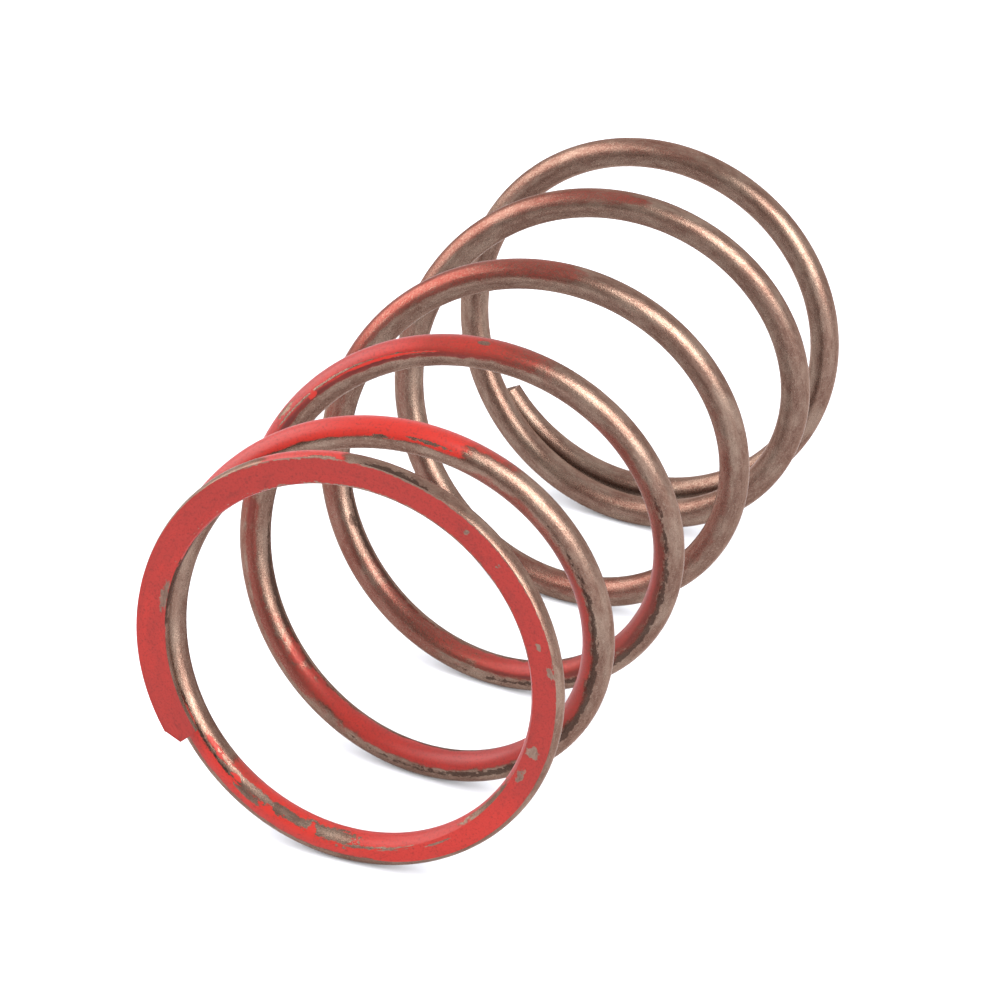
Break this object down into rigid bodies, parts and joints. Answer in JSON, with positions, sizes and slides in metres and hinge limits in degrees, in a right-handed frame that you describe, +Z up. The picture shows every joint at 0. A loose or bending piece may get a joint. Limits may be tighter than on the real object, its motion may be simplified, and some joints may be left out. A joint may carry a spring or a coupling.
{
  "type": "compression coil spring",
  "caption": "Round-wire compression coil spring with closed and ground ends, one end marked with red paint, which pushes its two seats apart.",
  "frame": {"origin": "middle of the painted end's ground seat, on the coil axis", "axes": "+Y along the coil axis from the painted seat to the plain seat, +Z up with the spring lying on its side, +X to the right seen from the painted end"},
  "size_m": [0.0598, 0.124, 0.06],
  "materials": {
    "red_painted_wire": "matt red marking paint, chipped and worn along its edges",
    "red_tinted_wire": "bare oil-tempered wire with red overspray on the sides that face the painted end",
    "bare_wire": "brown-bronze oil-tempered spring steel, semi-gloss, with fine drawing marks along the wire"
  },
  "bodies": {
    "painted_end": {"painted_end_coil": "red_painted_wire", "painted_end_lead": "red_painted_wire"},
    "coil_section_01": {"coil_section_01": "red_tinted_wire"},
    "coil_section_02": {"coil_section_02": "red_tinted_wire"},
    "coil_section_03": {"coil_section_03": "red_tinted_wire"},
    "coil_section_04": {"coil_section_04": "red_tinted_wire"},
    "coil_section_05": {"coil_section_05": "red_tinted_wire"},
    "coil_section_06": {"coil_section_06": "red_tinted_wire"},
    "coil_section_07": {"coil_section_07": "red_tinted_wire"},
    "coil_section_08": {"coil_section_08": "red_tinted_wire"},
    "coil_section_09": {"coil_section_09": "red_tinted_wire"},
    "coil_section_10": {"coil_section_10": "red_tinted_wire"},
    "coil_section_11": {"coil_section_11": "red_tinted_wire"},
    "coil_section_12": {"coil_section_12": "red_tinted_wire"},
    "coil_section_13": {"coil_section_13": "bare_wire"},
    "coil_section_14": {"coil_section_14": "bare_wire"},
    "coil_section_15": {"coil_section_15": "bare_wire"},
    "coil_section_16": {"coil_section_16": "bare_wire"},
    "coil_section_17": {"coil_section_17": "bare_wire"},
    "coil_section_18": {"coil_section_18": "bare_wire"},
    "coil_section_19": {"coil_section_19": "bare_wire"},
    "coil_section_20": {"coil_section_20": "bare_wire"},
    "coil_section_21": {"coil_section_21": "bare_wire"},
    "coil_section_22": {"coil_section_22": "bare_wire"},
    "plain_end": {"plain_end_lead": "bare_wire", "plain_end_coil": "bare_wire"}
  },
  "joints": [
    {"name": "compression", "type": "slide", "parent": "painted_end", "child": "plain_end", "axis": [0, -1, 0], "range_m": [0, 0.0736], "stiffness_N_per_m": 5100},
    {"name": "slide_02", "type": "slide", "parent": "painted_end", "child": "coil_section_02", "axis": [0, -1, 0], "range_m": [0, 0.0064]},
    {"name": "slide_04", "type": "slide", "parent": "coil_section_02", "child": "coil_section_04", "axis": [0, -1, 0], "range_m": [0, 0.0064]},
    {"name": "slide_06", "type": "slide", "parent": "coil_section_04", "child": "coil_section_06", "axis": [0, -1, 0], "range_m": [0, 0.0064]},
    {"name": "slide_08", "type": "slide", "parent": "coil_section_06", "child": "coil_section_08", "axis": [0, -1, 0], "range_m": [0, 0.0064]},
    {"name": "slide_10", "type": "slide", "parent": "coil_section_08", "child": "coil_section_10", "axis": [0, -1, 0], "range_m": [0, 0.0064]},
    {"name": "slide_12", "type": "slide", "parent": "coil_section_10", "child": "coil_section_12", "axis": [0, -1, 0], "range_m": [0, 0.0064]},
    {"name": "slide_14", "type": "slide", "parent": "coil_section_12", "child": "coil_section_14", "axis": [0, -1, 0], "range_m": [0, 0.0064]},
    {"name": "slide_16", "type": "slide", "parent": "coil_section_14", "child": "coil_section_16", "axis": [0, -1, 0], "range_m": [0, 0.0064]},
    {"name": "slide_18", "type": "slide", "parent": "coil_section_16", "child": "coil_section_18", "axis": [0, -1, 0], "range_m": [0, 0.0064]},
    {"name": "slide_20", "type": "slide", "parent": "coil_section_18", "child": "coil_section_20", "axis": [0, -1, 0], "range_m": [0, 0.0064]},
    {"name": "slide_22", "type": "slide", "parent": "coil_section_20", "child": "coil_section_22", "axis": [0, -1, 0], "range_m": [0, 0.0064]},
    {"name": "slide_21", "type": "slide", "parent": "plain_end", "child": "coil_section_21", "axis": [0, 1, 0], "range_m": [0, 0.0064]},
    {"name": "slide_19", "type": "slide", "parent": "coil_section_21", "child": "coil_section_19", "axis": [0, 1, 0], "range_m": [0, 0.0064]},
    {"name": "slide_17", "type": "slide", "parent": "coil_section_19", "child": "coil_section_17", "axis": [0, 1, 0], "range_m": [0, 0.0064]},
    {"name": "slide_15", "type": "slide", "parent": "coil_section_17", "child": "coil_section_15", "axis": [0, 1, 0], "range_m": [0, 0.0064]},
    {"name": "slide_13", "type": "slide", "parent": "coil_section_15", "child": "coil_section_13", "axis": [0, 1, 0], "range_m": [0, 0.0064]},
    {"name": "slide_11", "type": "slide", "parent": "coil_section_13", "child": "coil_section_11", "axis": [0, 1, 0], "range_m": [0, 0.0064]},
    {"name": "slide_09", "type": "slide", "parent": "coil_section_11", "child": "coil_section_09", "axis": [0, 1, 0], "range_m": [0, 0.0064]},
    {"name": "slide_07", "type": "slide", "parent": "coil_section_09", "child": "coil_section_07", "axis": [0, 1, 0], "range_m": [0, 0.0064]},
    {"name": "slide_05", "type": "slide", "parent": "coil_section_07", "child": "coil_section_05", "axis": [0, 1, 0], "range_m": [0, 0.0064]},
    {"name": "slide_03", "type": "slide", "parent": "coil_section_05", "child": "coil_section_03", "axis": [0, 1, 0], "range_m": [0, 0.0064]},
    {"name": "slide_01", "type": "slide", "parent": "coil_section_03", "child": "coil_section_01", "axis": [0, 1, 0], "range_m": [0, 0.0064]}
  ],
  "couplings": [
    {"joint": "slide_02", "follows": "compression", "ratio": 0.086957},
    {"joint": "slide_04", "follows": "compression", "ratio": 0.086957},
    {"joint": "slide_06", "follows": "compression", "ratio": 0.086957},
    {"joint": "slide_08", "follows": "compression", "ratio": 0.086957},
    {"joint": "slide_10", "follows": "compression", "ratio": 0.086957},
    {"joint": "slide_12", "follows": "compression", "ratio": 0.086957},
    {"joint": "slide_14", "follows": "compression", "ratio": 0.086957},
    {"joint": "slide_16", "follows": "compression", "ratio": 0.086957},
    {"joint": "slide_18", "follows": "compression", "ratio": 0.086957},
    {"joint": "slide_20", "follows": "compression", "ratio": 0.086957},
    {"joint": "slide_22", "follows": "compression", "ratio": 0.086957},
    {"joint": "slide_21", "follows": "compression", "ratio": 0.086957},
    {"joint": "slide_19", "follows": "compression", "ratio": 0.086957},
    {"joint": "slide_17", "follows": "compression", "ratio": 0.086957},
    {"joint": "slide_15", "follows": "compression", "ratio": 0.086957},
    {"joint": "slide_13", "follows": "compression", "ratio": 0.086957},
    {"joint": "slide_11", "follows": "compression", "ratio": 0.086957},
    {"joint": "slide_09", "follows": "compression", "ratio": 0.086957},
    {"joint": "slide_07", "follows": "compression", "ratio": 0.086957},
    {"joint": "slide_05", "follows": "compression", "ratio": 0.086957},
    {"joint": "slide_03", "follows": "compression", "ratio": 0.086957},
    {"joint": "slide_01", "follows": "compression", "ratio": 0.086957}
  ]
}
